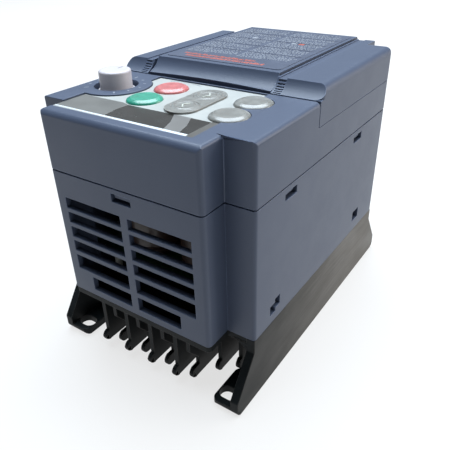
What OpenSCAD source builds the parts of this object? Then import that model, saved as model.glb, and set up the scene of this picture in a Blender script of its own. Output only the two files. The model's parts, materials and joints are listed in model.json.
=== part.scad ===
// Compact open-type variable frequency drive, lying on its mounting feet.
// Origin: centre of the mounting plane under the feet. +Z points out of the keypad,
// -Y is the grille end (the top when it hangs on a wall), +Y is the wiring end.

/* [Housing] */
// Width over the side blocks
body_w = 80; // [78:0.5:84]
// Length of the side blocks, and of the case between the corner notches
block_l = 100; // [96:1:102]
// Width of the narrow centre section between the corner notches
centre_w = 60; // [58:0.5:62]
// Full length, grille face to wiring face
body_l = 120; // [118:1:124]
// Wall thickness of the moulded cases
wall = 2; // [1.6:0.1:2.4]
// Height of the joint between the heatsink and the lower case
base_z = 25; // [24:0.5:26]
// Height of the seam between the lower and the upper case
seam_z = 71.4; // [71:0.1:72]
// Height of the keypad rim
rim_z = 90.8; // [90.5:0.1:91]
// Height of the raised terminal cover
cover_z = 95; // [94.5:0.1:96]

/* [Mounting] */
// Hole pitch across the width
pitch_x = 67; // [66:0.5:68]
// Hole pitch along the length
pitch_y = 110; // [109:0.5:110.5]
// Width of each fixing slot
slot_w = 5; // [4:0.1:5.2]
// Length of each fixing slot
slot_l = 7; // [6:0.1:7.4]
// Thickness of the foot flanges
foot_t = 3; // [2.5:0.1:3.5]

/* [Heatsink] */
// Distance between fins
fin_pitch = 5.5; // [5.4:0.1:5.6]
// Thickness of a fin
fin_t = 1.6; // [1.2:0.1:1.8]
// Clearance between the fin tips and the mounting plane
fin_gap = 3; // [2:0.5:5]
// Thickness of the two side plates
side_plate_t = 3; // [2.5:0.1:3]

/* [Keypad] */
// Diameter of the run and stop keys
key_d = 11.6; // [11:0.1:11.8]
// Diameter of the program and function keys
side_key_d = 12.2; // [11.6:0.1:12.4]
// Travel of a key
key_travel = 0.8; // [0.5:0.1:0.9]
// Diameter of the speed knob
knob_d = 10.9; // [10.4:0.1:11.4]
// Height of the knob's top face
knob_z = 95.9; // [95.4:0.1:97]

/* [Hidden] */
$fn = 48;

// Colours
case_blue = [0.33, 0.38, 0.47];
key_grey = [0.62, 0.62, 0.60];
board_green = [0.10, 0.32, 0.20];
steel = [0.72, 0.73, 0.74];

// Heights of the stack from the mounting plane up
plate_t = 4.5;
rim_t = 2.4;
plate_low_z = base_z - plate_t;
fin_top_z = base_z - rim_t;
power_board_z = 34;
board_t = 1.6;
power_top_z = power_board_z + board_t;
control_board_z = 72;
control_top_z = control_board_z + board_t;
keypad_board_z = 81;
keypad_top_z = keypad_board_z + board_t;
deck_z = 87;
seat_z = 89.7;
overlay_z = 90.3;
well_z = 88.4;
knob_foot_z = 88.9;
skirt_z = 83;

// Plan positions of the front panel
cover_y = -12.8;
knob_at = [-27.9, -28.9];
disc_r = 12.1;
well_r = 7.45;
left_keys_x = -8.7;
arrow_x = 6.9;
right_keys_x = 22.9;
near_row_y = -36.2;
far_row_y = -23.1;
row_pitch = far_row_y - near_row_y;
key_gap = 0.3;
arrow_d = 8.6;
arrow_y = [-35.7, -24.5];
overlay_x = [-30, 22.3];
overlay_y = [-55, -13.8];
window_y = [-53.2, -42.5];
band_x = 24;

// The centre plate of the cover is not central: it leaves a wider strip on the right
plate_x = [-27.7, 22.3];
plate_gap = 0.4;
plate_front = cover_y + 0.9;
plate_z = cover_z + 0.8;
bed_top_z = 89.5;

// Screw sizes
m3_r = 1.5;
m3_head_r = 2.2;
head_t = 2;
screw_l = 8;
case_screw_at = [33.3, 43];

function mid(pair) = (pair[0] + pair[1]) / 2;
function span(pair) = pair[1] - pair[0];

// ---------------------------------------------------------------- shared shapes

// Rectangle with round corners, centred
module rounded_rect(w, l, r) {
    square([w - 2 * r, l], center = true);
    square([w, l - 2 * r], center = true);
    for (x = [-1, 1], y = [-1, 1])
        translate([x * (w / 2 - r), y * (l / 2 - r)]) circle(r);
}

// Plan of the case: wide block and narrow centre section, drawn in by inset
module case_plan(inset = 0) {
    rounded_rect(body_w - 2 * inset, block_l - 2 * inset, 1.2);
    rounded_rect(centre_w - 2 * inset, body_l - 2 * inset, 1.6);
}

// Box from one corner to the opposite one
module box(low, high) {
    translate(low) cube(high - low);
}

// Outline drawn in the YZ plane, extruded from x0 to x1
module along_x(x0, x1) {
    translate([x0, 0, 0]) rotate([90, 0, 90]) linear_extrude(x1 - x0) children();
}

// Outline drawn in the XZ plane, extruded from y0 to y1
module along_y(y0, y1) {
    translate([0, y1, 0]) rotate([90, 0, 0]) linear_extrude(y1 - y0) children();
}

// Section of a block whose two top edges are rounded
module round_top(half, z0, z1, r) {
    translate([-half, z0]) square([2 * half, z1 - z0 - r]);
    translate([-half + r, z0]) square([2 * (half - r), z1 - z0]);
    for (s = [-1, 1]) translate([s * (half - r), z1 - r]) circle(r);
}

// Circle through two points of an outline that cuts into it by a depth between them
module hollow_arc(from, to, depth) {
    chord = norm(to - from);
    radius = (pow(chord / 2, 2) + pow(depth, 2)) / (2 * depth);
    outward = [from[1] - to[1], to[0] - from[0]] / chord;
    translate((from + to) / 2 + (radius - depth) * outward) circle(radius);
}

// Solid case shape between two heights. The long top edges of the side blocks are rounded
// by side_r, the top edges at the ends by end_r, and those of the centre section by centre_r.
module case_block(z0, z1, side_r, end_r, centre_r) {
    half_l = body_l / 2;
    intersection() {
        translate([0, 0, z0]) linear_extrude(z1 - z0) rounded_rect(body_w, block_l, 1.2);
        along_y(-half_l, half_l) round_top(body_w / 2, z0, z1, side_r);
    }
    intersection() {
        translate([0, 0, z0]) linear_extrude(z1 - z0) rounded_rect(centre_w, body_l, 1.6);
        along_x(-body_w, body_w) round_top(half_l, z0, z1, end_r);
        along_y(-half_l, half_l) round_top(centre_w / 2, z0, z1, centre_r);
    }
}

// Pan-head screw: the head's underside is at z, the shank points down
module screw(at, z, shank, head_r = m3_head_r, shank_r = m3_r) {
    slot_depth = 0.8;
    translate([at[0], at[1], z - shank]) cylinder(h = shank, r = shank_r);
    difference() {
        translate([at[0], at[1], z]) cylinder(h = head_t, r = head_r);
        translate([at[0], at[1], z + head_t]) {
            cube([head_r * 1.4, 0.7, 2 * slot_depth], center = true);
            cube([0.7, head_r * 1.4, 2 * slot_depth], center = true);
        }
    }
}

// Four symmetric copies
module four(at) {
    for (x = [-1, 1], y = [-1, 1]) translate([x * at[0], y * at[1], 0]) children();
}

// ---------------------------------------------------------------- heatsink

// Side view of a side plate: its ends slope out to the feet
module side_plate_outline() {
    neck = block_l / 2;
    toe = body_l / 2;
    toe_r = 2.5;
    slope_z = 20;
    polygon([[-neck, base_z], [-neck, slope_z], [-toe, 6], [-toe, toe_r], [-toe + toe_r, 0],
        [toe - toe_r, 0], [toe, toe_r], [toe, 6], [neck, slope_z], [neck, base_z]]);
    for (s = [-1, 1]) translate([s * (toe - toe_r), toe_r]) circle(toe_r);
}

// Side view of one fin from its base to its tip, running between -end and end.
// A hooked fin is cut back above a rounded toe; a straight one has a toe only.
module fin_outline(end, hooked) {
    toe_r = 2.2;
    toe_z = fin_gap + toe_r;
    cut = hooked ? 4.5 : 0;
    neck_z = fin_top_z - 6.5;
    slope_low_z = 10.5;
    toe_end = hooked ? end - 0.4 : end + 2.2;
    translate([-end + cut, fin_gap]) square([2 * (end - cut), fin_top_z - fin_gap]);
    for (s = [-1, 1]) {
        translate([s * (toe_end - toe_r), toe_z]) circle(toe_r);
        translate([s * (toe_end - toe_r - 2), toe_z]) square([4, 2 * toe_r], center = true);
        if (hooked) {
            root = s > 0 ? end - cut : -end;
            translate([root, neck_z]) square([cut, fin_top_z - neck_z]);
            slope = [[end - cut, slope_low_z], [end, neck_z], [end - cut, neck_z]];
            polygon([for (p = slope) [s * p[0], p[1]]]);
        }
    }
}

// Hollow fillet in the corner between the base plate and the inner face of a side plate
module plate_fillet(corner_x) {
    fillet_r = 5;
    difference() {
        translate([corner_x - fillet_r, fin_top_z - fillet_r]) square(fillet_r + 0.5);
        translate([corner_x - fillet_r, fin_top_z - fillet_r]) circle(fillet_r);
    }
}

// One foot, as wide as its flange; the end follows the rounded toe of the side plate
module foot() {
    foot_w = 10.5;
    foot_l = 16.6;
    corner_r = 2.5;
    intersection() {
        translate([body_w / 2 - foot_w, body_l / 2 - foot_l, 0]) linear_extrude(foot_t) {
            translate([corner_r, 0]) square([foot_w - corner_r, foot_l]);
            translate([0, corner_r]) square([foot_w, foot_l - 2 * corner_r]);
            for (y = [corner_r, foot_l - corner_r]) translate([corner_r, y]) circle(corner_r);
        }
        along_x(0, body_w / 2) side_plate_outline();
    }
}

module heatsink() {
    plate_x0 = body_w / 2 - side_plate_t;
    slab_end = case_screw_at[1] + m3_head_r + 0.6;
    // half length of each fin, from the middle outwards; the first four reach the front
    fin_ends = [57.6, 57.6, 57.6, 57.6, 47.5, 43];
    long_fins = 4;
    color([0.07, 0.08, 0.09]) difference() {
        union() {
            // base plate: thin to its edges, thicker between the case screws
            translate([0, 0, fin_top_z]) linear_extrude(rim_t) case_plan(0.2);
            box([-plate_x0 - 1, -slab_end, plate_low_z], [plate_x0 + 1, slab_end, fin_top_z + 1]);
            for (s = [-1, 1]) {
                mirror([s > 0 ? 0 : 1, 0, 0]) along_x(plate_x0, body_w / 2) side_plate_outline();
                for (k = [0:len(fin_ends) - 1]) {
                    x = s * fin_pitch * (k + 0.5);
                    hooked = k < long_fins && (k % 2 == (s > 0 ? 1 : 0));
                    along_x(x - fin_t / 2, x + fin_t / 2) fin_outline(fin_ends[k], hooked);
                }
            }
            // feet, and fillets under the base plate at the ends of the side plates
            for (s = [0, 1], t = [0, 1]) mirror([s, 0, 0]) mirror([0, t, 0]) {
                foot();
                along_y(-block_l / 2, -slab_end + 0.3) plate_fillet(plate_x0);
            }
        }
        // fixing slots
        four([pitch_x / 2, pitch_y / 2]) translate([0, 0, -1]) linear_extrude(foot_t + 4) {
            square([slot_l - slot_w, slot_w], center = true);
            for (s = [-1, 1]) translate([s * (slot_l - slot_w) / 2, 0]) circle(slot_w / 2);
        }
        // clearance holes of the case screws, from below
        four(case_screw_at) translate([0, 0, plate_low_z - 1]) cylinder(h = plate_t + 2, r = m3_r + 0.1);
        // tapped holes of the power module and of the ground screws
        for (p = concat(module_screw_at(), ground_screw_at()))
            translate([p[0], p[1], base_z - 4]) cylinder(h = 5, r = m3_r);
    }
}

// ---------------------------------------------------------------- cases

grille_rows = [[58.5, 62.3], [53.1, 57], [47.6, 51.5], [42, 46], [34.7, 40.2], [27.6, 32.9]];
grille_x = [1.5, 25.4];
short_x = [1.5, 19.2];
latch_y = [-29.6, 22.4];
latch_w = 7.2;
latch_z = [66.8, 69.4];
front_latch_w = 7.6;
guard_w = 48;
guard_z = 40;

// Slots in one end wall: rows of the list, two columns
module vent_rows(y0, y1, rows) {
    for (row = rows, s = [-1, 1]) {
        x = row[0] < 30 ? short_x : grille_x;
        x0 = s > 0 ? x[0] : -x[1];
        box([x0, y0, row[0]], [x0 + span(x), y1, row[1]]);
    }
}

// Windows in both side walls, each given by its centre (y, z) and its size along y and z:
// two at the seam for the latches and lower ones for the heatsink clips. Of those the near one
// is stepped, made of two that overlap.
module side_windows() {
    seam_windows = [for (y = latch_y) [y, mid(latch_z), latch_w, span(latch_z)]];
    clip_windows = [[-35.8, 31.6, 3, 3.6], [-38.8, 30.2, 3.2, 3.6], [30, 32, 5.6, 4.2]];
    for (s = [-1, 1], w = concat(seam_windows, clip_windows))
        translate([s * body_w / 2, w[0], w[1]]) cube([4 * wall, w[2], w[3]], center = true);
}

module lower_case() {
    groove = 0.28;
    half_l = body_l / 2;
    boss_x = 30.3;
    color(case_blue) difference() {
        union() {
            difference() {
                union() {
                    translate([0, 0, base_z]) linear_extrude(seam_z - groove - base_z) case_plan();
                    translate([0, 0, base_z]) linear_extrude(seam_z - base_z) case_plan(wall / 2);
                }
                translate([0, 0, base_z - 1]) linear_extrude(seam_z) case_plan(wall);
            }
            // blocks that take the screws from the heatsink
            for (s = [-1, 1], t = [-1, 1])
                box([s > 0 ? boss_x : -body_w / 2 + wall / 2, t * case_screw_at[1] - 2.8, base_z],
                    [s > 0 ? body_w / 2 - wall / 2 : -boss_x, t * case_screw_at[1] + 2.8, base_z + 8]);
        }
        four(case_screw_at) translate([0, 0, base_z - 1]) cylinder(h = 8, r = m3_r);
        vent_rows(-half_l - 1, -half_l + wall + 1, grille_rows);
        vent_rows(half_l - wall - 1, half_l + 1, [grille_rows[5]]);
        side_windows();
        // front latch window
        translate([0, -half_l, mid(latch_z)])
            cube([front_latch_w, 4 * wall, span(latch_z) + 0.2], center = true);
        // opening for the wire guard
        box([-guard_w / 2, half_l - wall - 1, guard_z], [guard_w / 2, half_l + 1, seam_z + 1]);
    }
}

module case_screws() {
    color(steel) for (x = [-1, 1], y = [-1, 1])
        translate([x * case_screw_at[0], y * case_screw_at[1], plate_low_z])
            mirror([0, 0, 1]) screw([0, 0], 0, screw_l);
}

// Hook of the upper case that reaches down inside the lower case and ends in a barb
module latch_hook(w) {
    arm_t = 1.6;
    clear = 0.3;
    box([-w / 2 + 0.5, wall + clear, latch_z[0] - 0.8], [w / 2 - 0.5, wall + clear + arm_t, seam_z + 2]);
    box([-w / 2 + 0.5, 0.9, latch_z[1] - 1.5], [w / 2 - 0.5, wall + clear + 0.1, latch_z[1] - 0.5]);
    box([-w / 2 + 0.5, wall - 0.2, seam_z + 0.2], [w / 2 - 0.5, wall + clear + arm_t, seam_z + 2]);
}

// Outline of the overlay film, grown by an amount for its recess
module overlay_outline(grow = 0) {
    split_y = near_row_y;
    left_far_x = -21;
    translate([overlay_x[0] - grow, overlay_y[0] - grow])
        square([span(overlay_x) + 2 * grow, split_y - overlay_y[0] + 2 * grow]);
    translate([left_far_x - grow, split_y])
        square([overlay_x[1] - left_far_x + 2 * grow, overlay_y[1] - split_y + grow]);
    // wider at the windows
    translate([0, overlay_y[0] - grow]) square([band_x + grow, window_y[1] + 0.6 - overlay_y[0] + 2 * grow]);
}

// Every key's centre and its diameter
function key_list() = [[left_keys_x, near_row_y, key_d], [left_keys_x, far_row_y, key_d],
    [arrow_x, arrow_y[0], arrow_d], [arrow_x, arrow_y[1], arrow_d],
    [right_keys_x, near_row_y, side_key_d], [right_keys_x, far_row_y, side_key_d]];

// Display window: its right end slants, as the printed field does
module display_outline(grow = 0) {
    polygon([[-9.2 - grow, window_y[0] - grow], [13 + grow, window_y[0] - grow],
        [11.1 + grow, mid(window_y)], [8.1 + grow, window_y[1] + grow], [-9.6 - grow, window_y[1] + grow],
        [-9.9 - grow, mid(window_y)]]);
}

module unit_outline(grow = 0) {
    polygon([[18.4 - grow, window_y[0] - grow], [21.3 + grow, window_y[0] - grow],
        [21.3 + grow, window_y[1] + grow], [14.2 - grow, window_y[1] + grow], [16.8 - grow, mid(window_y)]]);
}

module upper_case() {
    half_l = body_l / 2;
    cover_bed_z = skirt_z - 0.2;
    deck_t = 2;
    deck_low = cover_bed_z - deck_t;
    hatch_x = [-24, 18];
    hatch_y = [10, 37];
    color(case_blue) difference() {
        union() {
            difference() {
                case_block(seam_z, rim_z, 1.6, 2.2, 1.2);
                translate([0, 0, seam_z - 1]) linear_extrude(deck_z - seam_z + 1) case_plan(wall);
                // everything behind the keypad is lower, to take the terminal cover
                box([-body_w, cover_y - 0.2, cover_bed_z], [body_w, body_l, cover_z + 5]);
            }
            // deck under the terminal cover
            intersection() {
                translate([0, 0, deck_low]) linear_extrude(deck_t) case_plan(wall / 2);
                box([-body_w, cover_y - 1, 0], [body_w, 40, cover_z]);
            }
            // wall that closes the keypad's rear end above that deck
            intersection() {
                translate([0, 0, deck_low]) linear_extrude(seat_z - deck_low) case_plan(wall / 2);
                box([-body_w, cover_y - 1.4, 0], [body_w, cover_y - 0.2, cover_z]);
            }
            translate([0, -half_l, 0]) latch_hook(front_latch_w);
            for (y = latch_y) {
                translate([body_w / 2, y, 0]) rotate(90) latch_hook(latch_w);
                translate([-body_w / 2, y, 0]) rotate(-90) latch_hook(latch_w);
            }
        }
        // recess of the overlay, which leaves a disc around the knob
        difference() {
            translate([0, 0, seat_z]) linear_extrude(5) overlay_outline(0.2);
            translate([knob_at[0], knob_at[1], 0]) cylinder(h = cover_z, r = disc_r, $fn = 96);
        }
        // well of the knob, and the hole for its bushing
        translate([knob_at[0], knob_at[1], well_z]) cylinder(h = 5, r = well_r);
        translate([knob_at[0], knob_at[1], deck_z - 1]) cylinder(h = 5, r = bushing_r + 0.3);
        for (k = key_list()) translate([k[0], k[1], deck_z - 1]) cylinder(h = 5, r = k[2] / 2 + key_gap);
        translate([0, 0, deck_z - 1]) linear_extrude(5) display_outline(-0.8);
        translate([0, 0, deck_z - 1]) linear_extrude(5) unit_outline(-0.8);
        // hatch over the control terminals, and the open bay over the power terminals
        box([hatch_x[0], hatch_y[0], deck_low - 1], [hatch_x[1], hatch_y[1], cover_z]);
        // outlet for control wires in the wiring end
        box([-12, half_l - wall - 1, cover_bed_z - 6], [12, half_l + 1, cover_z]);
        // opening above the wire guard's tongue
        box([-guard_w / 2 + 4, half_l - wall - 1, seam_z - 1], [guard_w / 2 - 4, half_l + 1, seam_z + 1]);
    }
}

module wire_guard() {
    clear = 0.15;
    half = guard_w / 2 - clear;
    outlet_w = 12;
    outlet_pitch = 15.5;
    outlet_z = [56, 68];
    y0 = body_l / 2 - wall;
    color([0.24, 0.26, 0.30]) difference() {
        union() {
            box([-half, y0, guard_z], [half, body_l / 2 - 0.4, seam_z]);
            box([-half - 1.5, y0 - 1, guard_z - 1.5], [half + 1.5, y0, seam_z]);
        }
        for (k = [-1:1]) {
            box([k * outlet_pitch - outlet_w / 2, y0 - 2, outlet_z[0] + 3],
                [k * outlet_pitch + outlet_w / 2, body_l, outlet_z[1]]);
            translate([k * outlet_pitch, 0, outlet_z[0] + 3]) rotate([-90, 0, 0])
                cylinder(h = body_l, r = outlet_w / 2);
        }
        // finger grooves between the outlets
        for (k = [-2:2]) box([k * 8 - 0.6, body_l / 2 - 1, guard_z + 2], [k * 8 + 0.6, body_l, guard_z + 9]);
    }
}

// ---------------------------------------------------------------- covers

cover_slope = [4.6, 91];
track_w = 2.8;
track_gap = 0.6;
// Left edges of the two tracks that run beside the seams of the centre plate
track_x = [plate_x[0] - plate_gap - track_gap - track_w, plate_x[1] + plate_gap + track_gap];

// Side view of the terminal cover's outer surface, with its hollow sloping front
module cover_side() {
    half_l = body_l / 2;
    end_r = 1.6;
    foot_of_slope = [cover_y, cover_slope[1]];
    head_of_slope = [cover_y + cover_slope[0], cover_z];
    difference() {
        polygon([[cover_y, skirt_z], foot_of_slope, head_of_slope,
            [half_l - end_r, cover_z], [half_l, cover_z - end_r], [half_l, skirt_z]]);
        hollow_arc(foot_of_slope, head_of_slope, 0.55);
    }
}

// Grip slots across one track, cut down the slope
module grip_slots(x) {
    count = 6;
    notch = 0.38;
    notch_depth = 0.55;
    first_y = 0.25;
    hollow = 0.6;
    rise = (cover_z - cover_slope[1]) / cover_slope[0];
    pitch = (cover_slope[0] - 0.2) / count;
    for (k = [0:count - 1]) {
        y = first_y + k * pitch;
        sag = hollow * sin(180 * y / cover_slope[0]);
        translate([x, cover_y + y, cover_slope[1] + y * rise - sag - notch_depth])
            cube([track_w, notch, cover_z - cover_slope[1]]);
    }
}

// Piece to cut away so that an upright corner at the origin becomes round
module corner_cut(r, h) {
    difference() {
        translate([-r, -1, 0]) cube([r + 1, r + 1, h]);
        translate([-r, r, -1]) cylinder(h = h + 2, r = r);
    }
}

module terminal_cover() {
    edge_r = 2.8;
    corner_r = 2.8;
    track_depth = 0.4;
    bed_z = 89.2;
    top_t = 2;
    half_w = body_w / 2;
    half_l = body_l / 2;
    window_x = [-22, 16];
    color(case_blue) difference() {
        intersection() {
            translate([0, 0, skirt_z]) linear_extrude(cover_z - skirt_z) case_plan();
            along_x(-half_w, half_w) cover_side();
            along_y(-half_l, half_l) round_top(half_w, skirt_z, cover_z, edge_r);
        }
        for (s = [0, 1]) mirror([s, 0, 0]) translate([half_w, cover_y, cover_slope[1]])
            corner_cut(corner_r, cover_z - cover_slope[1] + 1);
        for (x = track_x) {
            grip_slots(x);
            box([x, cover_y + cover_slope[0] - 0.5, cover_z - track_depth],
                [x + track_w, body_l, cover_z + 1]);
        }
        // hollow under the side strips
        for (s = [-1, 1]) {
            low = s > 0 ? plate_x[1] + plate_gap + 1.4 : -half_w + wall;
            high = s > 0 ? half_w - wall : plate_x[0] - plate_gap - 1.4;
            box([low, cover_y + wall + 3.5, skirt_z - 1], [high, block_l / 2 - wall, cover_z - top_t]);
        }
        // bed of the centre plate, open at the wiring end and on top
        box([plate_x[0] - plate_gap, cover_y - 1, bed_z], [plate_x[1] + plate_gap, body_l, cover_z + 5]);
        // hollow under the bed
        box([plate_x[0] - plate_gap - 1.3, cover_y + wall, skirt_z - 1],
            [plate_x[1] + plate_gap + 1.3, half_l - wall, bed_z - top_t]);
        // window in the bed, above the control terminals
        box([window_x[0], 6, skirt_z], [window_x[1], 46, cover_z]);
    }
}

// Side view of the centre plate: a hollow slope at the front and a flat top
module plate_side() {
    back = body_l / 2 - 0.2;
    end_r = 1;
    foot_of_slope = [plate_front, 91.3];
    head_of_slope = [plate_front + 5.6, plate_z];
    difference() {
        polygon([[plate_front, bed_top_z], foot_of_slope, head_of_slope, [back - end_r, plate_z],
            [back, plate_z - end_r], [back, bed_top_z]]);
        hollow_arc(foot_of_slope, head_of_slope, 0.75);
    }
}

module control_cover() {
    inner = 1.6;
    notch_r = 5;
    // the foot of the slope draws back in a shallow arc, to take a fingertip
    draw_back = 1;
    arc_r = (pow(span(plate_x) / 2, 2) + pow(draw_back, 2)) / (2 * draw_back);
    color(case_blue) difference() {
        along_x(plate_x[0], plate_x[1]) plate_side();
        translate([mid(plate_x), plate_front + draw_back - arc_r, bed_top_z - 1])
            cylinder(h = cover_z, r = arc_r, $fn = 360);
        // hollow underside
        box([plate_x[0] + inner, plate_front + 7.6, bed_top_z - 1],
            [plate_x[1] - inner, body_l / 2 - 2, plate_z - 2]);
        // finger notch at the wiring end
        translate([mid(plate_x), body_l / 2, bed_top_z - 1]) cylinder(h = 2.5, r = notch_r);
    }
}

module cover_label() {
    margin = 1.4;
    label_t = 0.2;
    label_y = [plate_front + 8.1, body_l / 2 - 3];
    color([0.30, 0.34, 0.43]) translate([mid(plate_x), mid(label_y), plate_z])
        linear_extrude(label_t) rounded_rect(span(plate_x) - 2 * margin, span(label_y), 1.5);
}

// ---------------------------------------------------------------- keypad

module keypad_overlay() {
    color([0.80, 0.83, 0.87]) difference() {
        translate([0, 0, seat_z]) linear_extrude(overlay_z - seat_z) overlay_outline();
        translate([knob_at[0], knob_at[1], seat_z - 1]) cylinder(h = 3, r = disc_r + 0.2, $fn = 96);
        for (k = key_list()) translate([k[0], k[1], seat_z - 1]) cylinder(h = 3, r = k[2] / 2 + key_gap);
        translate([0, 0, seat_z - 1]) linear_extrude(3) display_outline();
        translate([0, 0, seat_z - 1]) linear_extrude(3) unit_outline();
    }
}

module display_window() {
    color([0.10, 0.09, 0.08]) translate([0, 0, seat_z]) linear_extrude(overlay_z - seat_z) display_outline();
}

module unit_window() {
    color([0.10, 0.09, 0.08]) translate([0, 0, seat_z]) linear_extrude(overlay_z - seat_z) unit_outline();
}

// Grey oval pad around the two arrow keys
module arrow_key_frame() {
    pad_w = 11.2;
    pad_l = 24.8;
    pad_t = 0.6;
    centre = [arrow_x, mid(arrow_y)];
    color(key_grey) difference() {
        translate([centre[0], centre[1], overlay_z]) linear_extrude(pad_t) {
            square([pad_w, pad_l - pad_w], center = true);
            for (s = [-1, 1]) translate([0, s * (pad_l - pad_w) / 2]) circle(pad_w / 2, $fn = 96);
        }
        for (y = arrow_y) translate([arrow_x, y, overlay_z - 1]) cylinder(h = 3, r = arrow_d / 2 + key_gap);
    }
}

// One rubber key: flange under the deck, round shaft and a domed top.
// Two flats keep the flange clear of the next row's.
module key(at, d, top) {
    flange_z = [deck_z - 1.5, deck_z - 0.3];
    flange_r = d / 2 + 0.6;
    foot_r = 1.8;
    dome_h = 1.3;
    dome_r = (pow(d / 2, 2) + pow(dome_h, 2)) / (2 * dome_h);
    foot_z = keypad_top_z + 0.2 + key_travel + 0.1;
    translate([at[0], at[1], 0]) {
        translate([0, 0, foot_z]) cylinder(h = flange_z[0] - foot_z, r = foot_r);
        intersection() {
            translate([0, 0, flange_z[0]]) cylinder(h = span(flange_z), r = flange_r);
            translate([0, 0, flange_z[0]])
                cube([3 * flange_r, row_pitch - key_gap, 3 * span(flange_z)], center = true);
        }
        translate([0, 0, flange_z[1]]) cylinder(h = top - dome_h - flange_z[1], r = d / 2, $fn = 96);
        intersection() {
            translate([0, 0, top - dome_r]) sphere(dome_r, $fn = 96);
            translate([0, 0, top - dome_h]) cylinder(h = dome_h + 1, r = d / 2, $fn = 96);
        }
    }
}

key_top = 92;
arrow_top = 91.5;

module run_key() {
    color([0.16, 0.66, 0.50]) key([left_keys_x, near_row_y], key_d, key_top);
}

module stop_key() {
    color([0.86, 0.36, 0.38]) key([left_keys_x, far_row_y], key_d, key_top);
}

// The up key is the one nearer the grille end, which is the top when the drive hangs on a wall
module up_key() {
    color(key_grey) key([arrow_x, arrow_y[0]], arrow_d, arrow_top);
}

module down_key() {
    color(key_grey) key([arrow_x, arrow_y[1]], arrow_d, arrow_top);
}

module program_key() {
    color(key_grey) key([right_keys_x, far_row_y], side_key_d, key_top);
}

module function_key() {
    color(key_grey) key([right_keys_x, near_row_y], side_key_d, key_top);
}

shaft_r = 3;
bushing_r = 4;
shaft_top = 93;
shaft_low = keypad_top_z + 1.2;

// Smooth knob with a skirt at its foot and a faint pointer groove in its top
module speed_knob() {
    r = knob_d / 2;
    skirt_r = r + 0.75;
    edge = 0.5;
    groove = 0.2;
    color([0.86, 0.86, 0.88]) translate([knob_at[0], knob_at[1], 0]) difference() {
        rotate_extrude($fn = 96)
            polygon([[0, knob_foot_z], [skirt_r, knob_foot_z], [skirt_r, knob_foot_z + 0.5],
                [r, knob_foot_z + 0.7], [r, knob_z - edge], [r - edge, knob_z], [0, knob_z]]);
        translate([0, 0, knob_foot_z - 1]) cylinder(h = shaft_top - knob_foot_z + 1, r = shaft_r);
        box([-groove, r * 0.35, knob_z - groove], [groove, r - edge - 0.3, knob_z + 1]);
    }
}

module potentiometer_shaft() {
    color(steel) translate([knob_at[0], knob_at[1], shaft_low])
        cylinder(h = shaft_top - shaft_low, r = shaft_r);
}

module potentiometer() {
    size = 10;
    body_top = deck_z - 0.6;
    running = 0.06;
    color([0.16, 0.30, 0.55]) translate([knob_at[0], knob_at[1], 0]) difference() {
        union() {
            translate([-size / 2, -size / 2, keypad_top_z]) cube([size, size, body_top - keypad_top_z]);
            translate([0, 0, keypad_top_z]) cylinder(h = well_z - 0.1 - keypad_top_z, r = bushing_r);
        }
        translate([0, 0, shaft_low - 0.2]) cylinder(h = 10, r = shaft_r + running);
    }
}

keypad_post_at = [[-26, -52.5], [26, -52.5], [-34, -17.5], [34, -17.5]];

module keypad_board() {
    clear_y = cover_y - 2.4;
    color(board_green) difference() {
        translate([0, 0, keypad_board_z]) linear_extrude(board_t) {
            translate([-27.6, -56]) square([55.2, 30]);
            translate([-36.5, -46]) square([73, 46 + clear_y]);
        }
        for (p = keypad_post_at) translate([p[0], p[1], keypad_board_z - 1]) cylinder(h = 4, r = 1.1);
    }
}

// Posts moulded for the board, melted over it: they hang from the keypad deck
module keypad_posts() {
    color(case_blue) for (p = keypad_post_at) translate([p[0], p[1], 0]) {
        translate([0, 0, keypad_board_z + board_t]) cylinder(h = deck_z - keypad_board_z - board_t, r = 1.8);
        translate([0, 0, keypad_board_z]) cylinder(h = board_t, r = 1.1);
        translate([0, 0, keypad_board_z - 0.8]) cylinder(h = 0.8, r = 1.8);
    }
}

// Four-digit display module
module led_display() {
    top = keypad_top_z + 4;
    digits = 4;
    digit = [4.4, 5.8];
    digit_pitch = 5.15;
    display_x = [-9.4, 11.8];
    color([0.10, 0.10, 0.10]) difference() {
        box([display_x[0], window_y[0] + 1, keypad_top_z], [display_x[1], window_y[1] - 1, top]);
        for (k = [0:digits - 1])
            translate([display_x[0] + 0.8 + k * digit_pitch, window_y[0] + 2, top - 0.2])
                cube([digit[0], digit[1], 1]);
    }
}

// Carbon contacts under the keys
module key_contacts() {
    contact_t = 0.2;
    color([0.15, 0.15, 0.16]) for (k = key_list())
        translate([k[0], k[1], keypad_top_z]) cylinder(h = contact_t, r = 2.2);
}

// ---------------------------------------------------------------- power stage

module_at = [0, -4];
module_size = [50, 26, 5.4];
pad_t = 0.8;
standoff_at = [31, 34];
function module_screw_at() = [for (s = [-1, 1]) [module_at[0] + s * 21.5, module_at[1]]];
function ground_screw_at() = [for (s = [-1, 1]) [s * 21, 54.6]];

module thermal_pad() {
    color([0.75, 0.76, 0.72]) difference() {
        translate([module_at[0] - 24, module_at[1] - 12, base_z]) cube([48, 24, pad_t]);
        for (p = module_screw_at()) translate([p[0], p[1], base_z - 1]) cylinder(h = 4, r = m3_r + 0.4);
    }
}

module power_module() {
    low = base_z + pad_t;
    pin_count = 11;
    pin_pitch = 3.6;
    pin_w = 0.8;
    pin_row_y = 11.6;
    color([0.12, 0.12, 0.13]) difference() {
        union() {
            translate([module_at[0], module_at[1], low + module_size[2] / 2])
                cube(module_size, center = true);
            for (k = [0:pin_count - 1], s = [-1, 1])
                translate([(k - (pin_count - 1) / 2) * pin_pitch, module_at[1] + s * pin_row_y, low + 1])
                    linear_extrude(power_board_z - low - 1) square(pin_w, center = true);
        }
        for (p = module_screw_at()) {
            translate([p[0], p[1], low - 1]) cylinder(h = 10, r = m3_r + 0.1);
            translate([p[0], p[1], low + 2.4]) cylinder(h = 10, r = m3_head_r + 0.6);
        }
    }
}

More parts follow.
